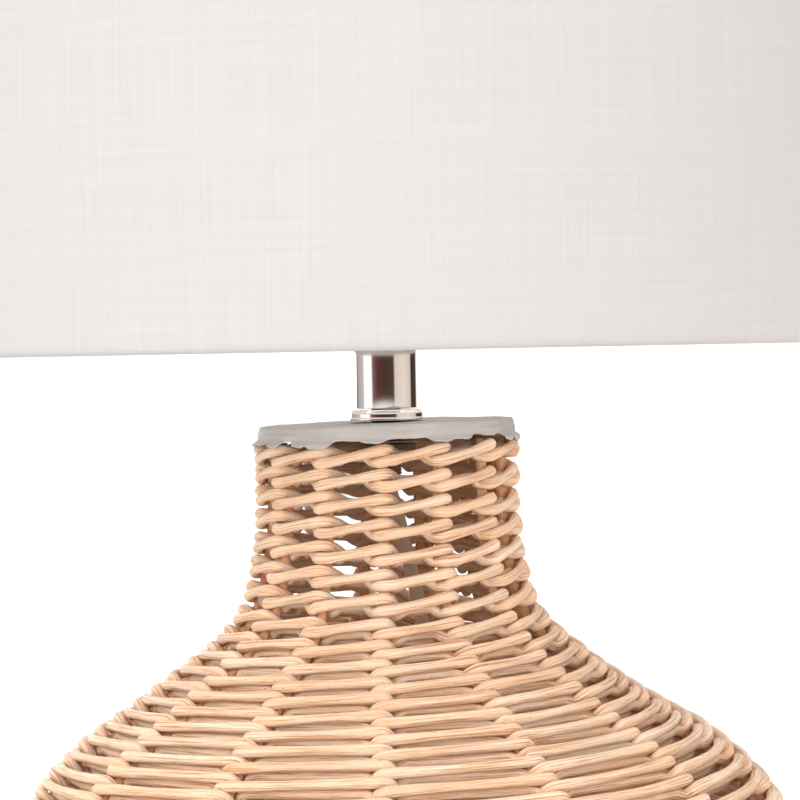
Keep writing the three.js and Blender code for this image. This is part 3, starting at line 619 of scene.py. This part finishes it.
def rodPath(which, chance):
    keys = []
    last = basket["stakes"] * basket["rows"] - 0.5
    for cycle in range(-1, basket["stakes"] * basket["rows"] // 3 + 2):
        loose = chance.normal(0, 0.16, 4)
        for stakeAt, after, depth, height in rodWay:
            stakeU = cycle * 3 + which + stakeAt
            s = rowLine(min(max(stakeU, 0), last))
            spacing = stakeTurn * wallPoint(s, 0)[0]
            front = max(0.0, 1 - abs(stakeAt - 0.5) / 0.8)
            keys.append((stakeU + after / spacing, depth + loose[0] * front, height + loose[1] * 0.8))
    keys = np.array(keys)
    order = np.argsort(keys[:, 0])
    keys = keys[order]
    u = np.concatenate([np.linspace(a, b, 3 if b - a > 0.17 else 2, endpoint=False)
                        for a, b in zip(keys[:-1, 0], keys[1:, 0])])
    u = u[(u > 0.02) & (u < last)]
    depth, height = eased(u, keys[:, 0], keys[:, 1]), eased(u, keys[:, 0], keys[:, 2])
    azimuth = math.radians(basket["firstStake"]) + stakeTurn * (7 + u)
    line = rowLine(u)
    sway = 0.22 * np.sin(azimuth * 3 + line * 0.9 + which) + 0.16 * np.sin(azimuth * 7 + line * 2.3)
    across = wallPoint(line, 0)[0] * np.sin(azimuth)
    skew = across * (0.018 + 0.02 * (1 - smoothStep(line, 20, 60))) * smoothStep(line, 2, 16)
    skew = skew * (1 - smoothStep(line, 240, 285))
    lift = 1.9 * (0.5 - 0.5 * np.cos(azimuth)) * (1 - smoothStep(line, 40, 110))
    s = line - height + sway * smoothStep(line, 8, 30) + skew - lift
    r, z, outR, outZ = wallPoint(s, basket["inset"] - depth)
    path = handMade(aroundAxis(r, azimuth, z))
    way = aroundAxis(outR, azimuth, outZ)
    return path, way, u


# a smooth curve through unevenly spaced values, without overshoot
def eased(x, knots, values):
    slope = np.diff(values) / np.diff(knots)
    inner = np.where(slope[:-1] * slope[1:] > 0, 2 * slope[:-1] *
                     slope[1:] / (slope[:-1] + slope[1:] + 1e-12), 0)
    tangent = np.concatenate([slope[:1], inner, slope[-1:]])
    i = np.clip(np.searchsorted(knots, x) - 1, 0, len(knots) - 2)
    h = knots[i + 1] - knots[i]
    t = (x - knots[i]) / h
    return ((2 * t ** 3 - 3 * t ** 2 + 1) * values[i] + (t ** 3 - 2 * t ** 2 + t) * h * tangent[i]
            + (3 * t ** 2 - 2 * t ** 3) * values[i + 1] + (t ** 3 - t ** 2) * h * tangent[i + 1])


# rods bend apart round the cord's bush
def clearOfBush(path, need=6.9, within=20.0):
    offset = path - exitAt
    alongAxis = offset @ exitWay
    away = offset - alongAxis[:, None] * exitWay
    distance = np.linalg.norm(away, axis=1)
    near = (distance < within) & (np.abs(alongAxis) < 25)
    target = need + distance * (1 - need / within)
    moved = path + unit(away) * (target - distance)[:, None]
    return np.where(near[:, None], moved, path)


chance = np.random.default_rng(basket["seed"])
fronts = []
for which in range(3):
    path, way, u = rodPath(which, chance)
    path = clearOfBush(path)
    run = np.concatenate([[0], np.cumsum(np.linalg.norm(np.diff(path, axis=0), axis=1))])
    drift = np.interp(run, np.arange(0, run[-1] + 4000, 350), chance.random(int((run[-1] + 4000) // 350) + 1))
    piecewise = chance.random(int(run[-1] // basket["splice"]) + 2)[(run // basket["splice"]).astype(int)]
    thick = basket["rod"] * (1 + 0.035 * np.sin(run / 37 + which * 2) + 0.02 * np.sin(run / 11)) * (
        1 - basket["waist"] * (0.5 - 0.5 * np.cos(2 * math.pi * u)))
    ridges = 1 + 0.03 * np.sin(np.arange(basket["sides"]) * 2.4 + (run / 210)[:, None])[..., None]
    rod = sweptTube(f"weave_rod_{which + 1}", path * mm, roundSection(thick, basket["sides"]) * ridges * mm,
                    way, tone=0.55 * piecewise + 0.45 * drift)
    finishPiece(rod, cane, "rattan", ["weave_body"])
    fronts.append((path, way, unit(np.gradient(path, axis=0))))

stakeLine = np.linspace(0.3, totalRun - 2.2, 70)
for i in range(basket["stakes"]):
    azimuth = np.full_like(stakeLine, math.radians(basket["firstStake"]) + stakeTurn * i)
    r, z, outR, outZ = wallPoint(stakeLine, basket["inset"])
    path = handMade(aroundAxis(r, azimuth, z))
    rod = sweptTube(f"basket_stake_{i + 1:02d}", path * mm, roundSection(np.full(70, basket["stakeRod"]),
                                                                         12) * mm,
                    aroundAxis(outR, azimuth, outZ), tone=np.full(70, chance.random()))
    finishPiece(rod, stakeCaneShaded, "rattan", [f"stake_{i + 1:02d}"])
# thin fibres that stand off the cane here and there
fibres = {"count": 150, "thick": 0.07, "reach": (3.0, 9.0), "lift": (0.4, 2.2), "steps": 7}
strands = []
for i in range(fibres["count"]):
    path, way, ahead = fronts[i % 3]
    at = int(chance.integers(200, len(path) - 200))
    if way[at] @ (path[at] - np.array([0, 0, path[at][2]])) <= 0:
        continue
    start = path[at] + way[at] * (basket["rod"] - 0.05)
    reach, lift = chance.uniform(*fibres["reach"]), chance.uniform(*fibres["lift"])
    t = np.linspace(0, 1, fibres["steps"])[:, None]
    sideways = np.cross(way[at], ahead[at]) * chance.normal(0, 0.25)
    line = start + ahead[at] * reach * t * chance.choice([-1, 1]) + way[at] * lift * np.sin(t * 2.2)
    line = line + sideways * reach * t * t
    thin = fibres["thick"] * (1 - 0.7 * t[:, 0])
    strands.append(sweptTube(f"strand_{i}", line * mm, roundSection(thin, 5) * mm,
                             np.broadcast_to(np.cross(way[at], ahead[at]), line.shape),
                             tone=np.full(len(t), 0.2)))
deselectAll()
for strand in strands:
    strand.select_set(True)
bpy.context.view_layer.objects.active = strands[0]
bpy.ops.object.join()
strands[0].name = "cane_fibres"
finishPiece(strands[0], cane, "rattan")
print("basket woven")


# painted cap

cap = {"radius": 41.2, "bottom": 262.8, "top": 267.0, "edge": 1.6, "bore": 5.6, "uneven": 0.16}
runs = {"turns": [(-72, 9, 1.6), (-57, 6, 2.3), (-40, 5, 2.2), (-30, 7, 3.0), (-14, 5, 0.6), (-5, 6, 1.5),
                  (12, 8, 0.4), (25, 7, 1.8), (35, 6, 1.4), (52, 6, 0.8), (66, 6, 2.8), (76, 5, 3.4),
                  (118, 7, 2.5), (160, 9, 3.0), (205, 6, 2.2), (250, 10, 2.8), (278, 5, 2.0)], "top": 265.0,
        "steps": 480, "thick": 0.6, "rows": 9}


# uneven by hand: a low, smooth wobble at each point
def handUneven(points, size, scale):
    a = points / scale
    return size * (np.sin(a[..., 0] * 1.7 + a[..., 2]) + np.sin(a[..., 1] * 2.3 - a[..., 0] * 0.8)
                   + 0.5 * np.sin(a[..., 0] * 5.1 + a[..., 1] * 4.3))


def bendToBasket(piece, size, scale):
    co = np.empty(len(piece.data.vertices) * 3)
    piece.data.vertices.foreach_get("co", co)
    points = co.reshape(-1, 3) / mm
    wobble = handUneven(points, size, scale)
    radial = unit(points * (1, 1, 0))
    onTop = points[:, 2:] > cap["bottom"] + 2
    points = points + radial * wobble[:, None] + np.array([0, 0, 0.5]) * wobble[:, None] * onTop
    piece.data.vertices.foreach_set("co", (handMade(points) * mm).ravel())
    piece.data.update()


capProfile = [(cap["bore"], cap["bottom"], 0), (cap["radius"] - 0.2, cap["bottom"], 0.7),
              (cap["radius"], 264.0, 0.5), (cap["radius"], 265.2, 0.5),
              (cap["radius"] - 0.5, cap["top"], cap["edge"]), (30, cap["top"] + 0.1, 0),
              (18, cap["top"], 0), (cap["bore"], cap["top"], 0)]
capPiece = spunPiece("painted_cap", rounded(capProfile, 0.5), 192)
bendToBasket(capPiece, cap["uneven"], 9.0)
finishPiece(capPiece, paint, "paint", ["top_cap"])


def paintRuns():
    turn = np.arange(runs["steps"]) * 2 * math.pi / runs["steps"]
    drop = 0.25 + 0.12 * np.sin(turn * 13) + 0.1 * np.sin(turn * 31 + 1)
    for at, half, length in runs["turns"]:
        away = (np.degrees(turn) - at + 180) % 360 - 180
        inside = np.clip(1 - (away / half) ** 2, 0, 1)
        drop = np.maximum(drop, length * inside ** 0.45 * (1 + 0.08 * np.sin(away)))
    drop = (np.roll(drop, 1) + 2 * drop + np.roll(drop, -1)) / 4
    bottom = cap["bottom"] - drop
    t = np.linspace(0, 1, runs["rows"])
    z = runs["top"] + (bottom[:, None] - runs["top"]) * t
    swell = runs["thick"] * np.sqrt(np.clip(1 - (2 * t - 1) ** 8, 0, 1)) * (0.75 + 0.35 * t)
    bed = cap["radius"] - 0.25 + 2.1 * smoothStep(-z, -262.9, -261.2)
    outer, inner = bed + swell, bed - 0.35 * np.sin(t * math.pi)
    r = np.concatenate([outer, inner[:, ::-1][:, 1:-1]], 1)
    height = np.concatenate([z, z[:, ::-1][:, 1:-1]], 1)
    points = handMade(aroundAxis(r, turn[:, None], height)).reshape(-1, 3)
    ring = r.shape[1]
    i, j = np.meshgrid(np.arange(runs["steps"]), np.arange(ring), indexing="ij")
    i2, j2 = (i + 1) % runs["steps"], (j + 1) % ring
    quads = np.stack([i * ring + j, i * ring + j2, i2 * ring + j2, i2 * ring + j], -1).reshape(-1, 4)
    mesh = bpy.data.meshes.new("paint_runs")
    mesh.from_pydata((points * mm).tolist(), [], quads.tolist())
    piece = linkMesh("paint_runs", mesh)
    startEdit(piece)
    bpy.ops.mesh.remove_doubles(threshold=1e-6)
    bpy.ops.mesh.normals_make_consistent(inside=False)
    endEdit()
    smoothShade(piece, 70)
    return piece


finishPiece(paintRuns(), paint, "paint", ["cap_paint_runs"])


# stem, nut and polished neck

# a turned part with its corners rounded, made and finished in one go; the look is a material and its slot
def turned(name, profile, fillet, around, look, node, closed=False, steps=4):
    piece = spunPiece(name, rounded(profile, fillet, closed, steps), around, closed)
    finishPiece(piece, look[0], look[1], [node])


steelLook, nickelLook = (zinc, "zinc"), (nickel, "polished")
plasticLook, brassLook = (gloss, "white_plastic"), (brass, "brass")


# a CAD node's shape with its corners rounded off, as a new piece
def refined(nodeName, name, width, steps=3, angle=30):
    piece = linkMesh(name, nodes[nodeName].data.copy())
    startEdit(piece, "VERT")
    bpy.ops.mesh.remove_doubles(threshold=2e-6)
    bpy.ops.mesh.dissolve_limited(angle_limit=math.radians(1.5))
    endEdit()
    bevel = piece.modifiers.new("rounded", "BEVEL")
    bevel.width = width * mm
    bevel.segments = steps
    bevel.limit_method = "ANGLE"
    bevel.angle_limit = math.radians(angle)
    bevel.harden_normals = True
    deselectAll()
    piece.select_set(True)
    bpy.context.view_layer.objects.active = piece
    bpy.ops.object.modifier_apply(modifier=bevel.name)
    smoothShade(piece, 40)
    return piece


stem = {"radius": 4.9, "bore": 3.8, "bottom": 250, "top": 311, "pitch": 1.0, "depth": 0.35}
thread = [(stem["bore"], stem["bottom"])]
level = stem["bottom"]
while level < stem["top"] - 0.5:
    thread += [(stem["radius"] - stem["depth"], level), (stem["radius"], level + stem["pitch"] / 2)]
    level += stem["pitch"]
thread += [(stem["radius"] - stem["depth"], stem["top"]), (stem["bore"], stem["top"])]
finishPiece(spunPiece("threaded_stem", thread, 40), zinc, "zinc", ["threaded_tube"])
washer = [(5.3, 260.3), (8.8, 260.3), (8.8, 261.1), (5.3, 261.1)]
turned("spring_washer", washer, 0.25, 64, steelLook, "cap_washer", closed=True)
finishPiece(refined("cap_nut", "hex_nut", 0.5), zinc, "zinc", ["cap_nut"])
flange = [(5.4, 267.6, 0), (12.2, 267.6, 0.2), (12.2, 268.35, 0.3), (11.85, 268.55, 0.1),
          (11.85, 270.0, 0.35), (10.5, 271.1, 0.2), (5.4, 271.1, 0)]
turned("neck_foot", flange, 0.3, 128, nickelLook, "neck_flange", closed=True, steps=5)
tube = [(8.8, 271.4), (10.0, 271.4), (10.0, 303.0), (8.8, 303.0)]
turned("neck_sleeve", tube, 0.25, 128, nickelLook, "neck_tube", closed=True)
print("cap and neck made")


# shade

shade = {"radius": 175.0, "wire": (171.6, 292.1, 1.45), "steps": 192}
hem = [(175.0, 293.4), (174.85, 292.0), (174.3, 290.9), (173.3, 290.2), (172.0, 290.0), (170.7, 290.3),
       (169.7, 291.1), (169.3, 292.3), (169.7, 293.6), (170.5, 294.4), (170.8, 294.0), (170.1, 293.3),
       (169.85, 292.3), (170.2, 291.4), (171.0, 290.75), (172.0, 290.5), (173.1, 290.7), (173.9, 291.4),
       (174.25, 292.3), (174.3, 293.4)]
rowsUp = list(np.linspace(300, 500, 9))
clothProfile = hem + [(174.3, z) for z in rowsUp] + [(r, 800 - z) for r, z in reversed(hem)] + [
    (175.0, z) for z in reversed(rowsUp)]


# UVs in metres round and up a round piece
def wrapUv(piece, radius):
    mesh = piece.data
    co = np.empty(len(mesh.vertices) * 3)
    mesh.vertices.foreach_get("co", co)
    co = co.reshape(-1, 3)
    corner = np.empty(len(mesh.loops), int)
    mesh.loops.foreach_get("vertex_index", corner)
    starts = np.array([polygon.loop_start for polygon in mesh.polygons])
    turn = np.arctan2(co[corner, 0], co[corner, 1])
    first = np.repeat(turn[starts], np.diff(np.append(starts, len(corner))))
    turn = np.where(turn - first > math.pi, turn - 2 * math.pi, turn)
    turn = np.where(turn - first < -math.pi, turn + 2 * math.pi, turn)
    uv = np.stack([turn * radius * mm, co[corner, 2]], -1)
    mesh.uv_layers.new(name="UVMap").data.foreach_set("uv", uv.ravel())
    return piece


cloth = wrapUv(spunPiece("linen_drum", clothProfile, shade["steps"]), shade["radius"])
finishPiece(cloth, linen, "linen", ["shade_fabric"])
liningProfile = [(173.4, 293.0), (174.0, 293.0)] + [(174.0, z) for z in rowsUp]
liningProfile += [(174.0, 507.0), (173.4, 507.0)] + [(173.4, z) for z in reversed(rowsUp)]
finishPiece(spunPiece("shade_liner", liningProfile, shade["steps"]), styrene, "lining", ["shade_lining"])
wireR, wireZ, wireThick = shade["wire"]
for name, z in (("shade_wire_bottom", wireZ), ("shade_wire_top", 800 - wireZ)):
    profile = [(wireR + wireThick * math.cos(a * math.pi / 6),
                z + wireThick * math.sin(a * math.pi / 6)) for a in range(12)]
    finishPiece(spunPiece(name + "_ring", profile, shade["steps"]), whiteWire, "wire", [name])

spider = {"hub": (20.4, 27.5, 337.0, 339.0), "arm": 1.8, "armEnd": 169.4}
inner, outer, low, high = spider["hub"]
plate = [(inner, low), (outer, low), (outer, high), (inner, high)]
turned("spider_plate", plate, 0.5, 96, (whiteWire, "wire"), "spider_hub", closed=True)
for i in range(3):
    turn = math.radians(60 + 120 * i)
    stops = [(27.0, 338.0), (44, 338.0), (60, 338.0), (68, 337.4), (78, 334), (155.6, 296.1), (165, 292.7),
             (spider["armEnd"], 292.1)]
    line = smoothPath([tuple(aroundAxis(np.array(float(r)), np.array(turn), z)) for r, z in stops], 2.0)
    thick = np.full(len(line), spider["arm"])
    side = np.broadcast_to(aroundAxis(np.array(1.0), np.array(turn + math.pi / 2), 0.0), line.shape)
    arm = sweptTube(f"spider_rod_{i + 1}", line * mm, roundSection(thick, 14) * mm, side)
    finishPiece(arm, whiteWire, "wire", [f"spider_arm_{i + 1}"])
print("shade made")


# lampholder and bulb

holderCap = [(5.3, 303.3, 0), (12.5, 303.3, 1.0), (17.9, 312.3, 4.0), (18.4, 322.0, 0.4),
             (13.9, 322.0, 0.2), (13.9, 312.3, 2), (10.5, 306.3, 0.5), (5.3, 306.3, 0)]
turned("holder_dome", holderCap, 0.5, 96, plasticLook, "holder_cap", closed=True, steps=6)
shell = [(14.4, 322.3, 0.3), (19.4, 322.3, 0.5)]
for k in range(11):
    z = 325.0 + k * 2.5
    shell += [(19.4, z, 0), (20.0, z + 0.9, 0.3), (19.4, z + 1.8, 0)]
shell += [(19.4, 354, 0.8), (14.4, 354, 0.5)]
turned("holder_thread", shell, 0.3, 96, plasticLook, "holder_shell", closed=True)
core = [(0, 313, 0), (13.6, 313), (13.6, 319), (3.4, 319), (3.4, 318.2), (0, 318.2, 0)]
turned("holder_insert", core, 0.5, 72, (porcelain, "porcelain"), "holder_core")
contact = [(0, 319.3, 0), (3, 319.3), (2.6, 322.0), (0, 322.3, 0)]
turned("centre_contact", contact, 0.4, 48, brassLook, "holder_contact")

grips = {"count": 36, "depth": 0.5}
for end, low in (("lower", 332.3), ("upper", 339.3)):
    name, node = f"grip_ring_{end}", f"shade_ring_{end}"
    profile = [(20.4, low), (28.4, low), (28.4, low + 4.4), (20.4, low + 4.4)]
    ring = spunPiece(name, rounded(profile, 0.6), 144)
    co = np.empty(len(ring.data.vertices) * 3)
    ring.data.vertices.foreach_get("co", co)
    co = co.reshape(-1, 3)
    turn = np.arctan2(co[:, 1], co[:, 0])
    radius = np.hypot(co[:, 0], co[:, 1])
    cut = (radius > 27 * mm) * grips["depth"] * mm * (0.5 - 0.5 * np.cos(turn * grips["count"]))
    co[:, :2] *= (1 - cut / radius)[:, None]
    ring.data.vertices.foreach_set("co", co.ravel())
    ring.data.update()
    finishPiece(ring, gloss, "white_plastic", [node])

screwCap = [(0, 325.2, 0), (6, 325.2, 0.4), (12.0, 327.6, 0.8)]
for k in range(6):
    z = 329.0 + k * 3.3
    screwCap += [(11.9, z, 0), (13.1, z + 1.1, 0.8), (11.9, z + 2.2, 0)]
screwCap += [(13.1, 349.0, 0.3), (13.1, 350.0, 0.2), (0, 350.0, 0)]
turned("bulb_screw_cap", screwCap, 0.5, 72, nickelLook, "bulb_cap")
tip = [(0, 322.6, 0), (3.2, 322.7), (4, 324.0), (4, 324.9), (0, 324.9, 0)]
turned("bulb_tip", tip, 0.5, 48, brassLook, "bulb_contact")
lampBase = [(0, 350.3, 0), (13.1, 350.3, 0.4), (13.5, 356, 3), (19, 363, 4), (22, 368, 2), (23, 372, 0.4),
            (0, 372, 0)]
turned("bulb_housing", lampBase, 0.5, 96, plasticLook, "bulb_base", steps=6)
globe = []
opened = math.asin(27.7 / 30)
for k in range(25):
    a = -opened + k / 24 * (math.pi / 2 + opened)
    globe.append((30 * math.cos(a) if k < 24 else 0, 400 + 30 * math.sin(a)))
inside = [(29 * math.cos(a), 400 + 29 * math.sin(a)) for a in np.linspace(-opened * 0.97, math.pi / 2, 25)]
inside[-1] = (0, 429)
finishPiece(spunPiece("opal_globe", globe + inside[::-1] + [globe[0]], 96, closed=False), opal, "opal",
            ["bulb_globe"])
print("lampholder and bulb made")


# base

board = [(0, 3.3, 0), (96.5, 3.3, 0.8), (96.5, 13.3, 1.2), (0, 13.3, 0)]
turned("turned_base", board, 0.8, 160, (paint, "paint"), "base_board")
weight = [(0, 13.6, 0), (56, 13.6, 1.0), (55.2, 22.6, 1.6), (0, 22.6, 0)]
turned("cast_weight", weight, 1.0, 128, (castIron, "ballast"), "base_weight")
for i, (x, y) in enumerate([(52.3, -52.3), (52.3, 52.3), (-52.3, 52.3), (-52.3, -52.3)]):
    pad = [(0, 0, 0), (7.4, 0, 0.7), (8.0, 2.0, 0.6), (8.0, 3.0, 0.2), (0, 3.0, 0)]
    piece = spunPiece(f"rubber_foot_{i + 1}", rounded(pad, 0.5, closed=False), 48, closed=False,
                      centre=(x, y))
    finishPiece(piece, rubber, "pad", [f"foot_pad_{i + 1}"])
for i in (1, 2):
    finishPiece(refined(f"weight_screw_{i}", f"ballast_screw_{i}", 0.3), zinc, "zinc", [f"weight_screw_{i}"])
print("base made")


# bush, boot, switch and plug

# a spun piece turned from the Z axis to the way the flex leaves the basket
def toOutlet(piece):
    turn = Vector((0, 0, 1)).rotation_difference(Vector(exitWay)).to_matrix().to_4x4()
    turn.translation = Vector(exitAt * mm)
    piece.data.transform(turn)
    return piece


bush = [(3.1, -9, 0.3), (4.8, -9, 0.5), (4.8, 0.3, 0), (8, 0.3, 0.3), (8, 1.3, 0.6), (6.8, 2.0, 0.5),
        (3.1, 2.0, 0.5)]
finishPiece(toOutlet(spunPiece("flex_bush", rounded(bush, 0.4), 72)), gloss, "white_plastic", ["cord_bush"])
sleeve = [(0, 2.3, 0), (4.4, 2.3, 0.4)]
for k in range(6):
    z, r = 4.6 + k * 3.0, 4.4 - k * 0.15
    sleeve += [(r, z, 0.2), (r - 0.8, z + 0.4, 0.2), (r - 0.85, z + 1.3, 0.2), (r - 0.12, z + 1.7, 0.2)]
sleeve += [(3.5, 24.3, 0.5), (0, 24.3, 0)]
finishPiece(toOutlet(spunPiece("strain_boot", rounded(sleeve, 0.2, closed=False, steps=2), 48,
                               closed=False)), boot, "clear_flex", ["strain_relief"])
finishPiece(refined("switch_lower_case", "switch_tray", 1.2, 4), *plasticLook, ["switch_lower_case"])
finishPiece(refined("switch_upper_case", "switch_lid", 1.2, 4), *plasticLook, ["switch_upper_case"])
finishPiece(refined("switch_rocker", "rocker_key", 0.5, 3, 12), *plasticLook, ["switch_rocker"], "switch_key")
finishPiece(refined("plug_body", "plug_moulding", 1.6, 4), *plasticLook, ["plug_body"])
for i in (1, 2):
    finishPiece(refined(f"plug_pin_{i}", f"contact_pin_{i}", 0.3), nickel, "polished", [f"plug_pin_{i}"])
print("switch and plug made")
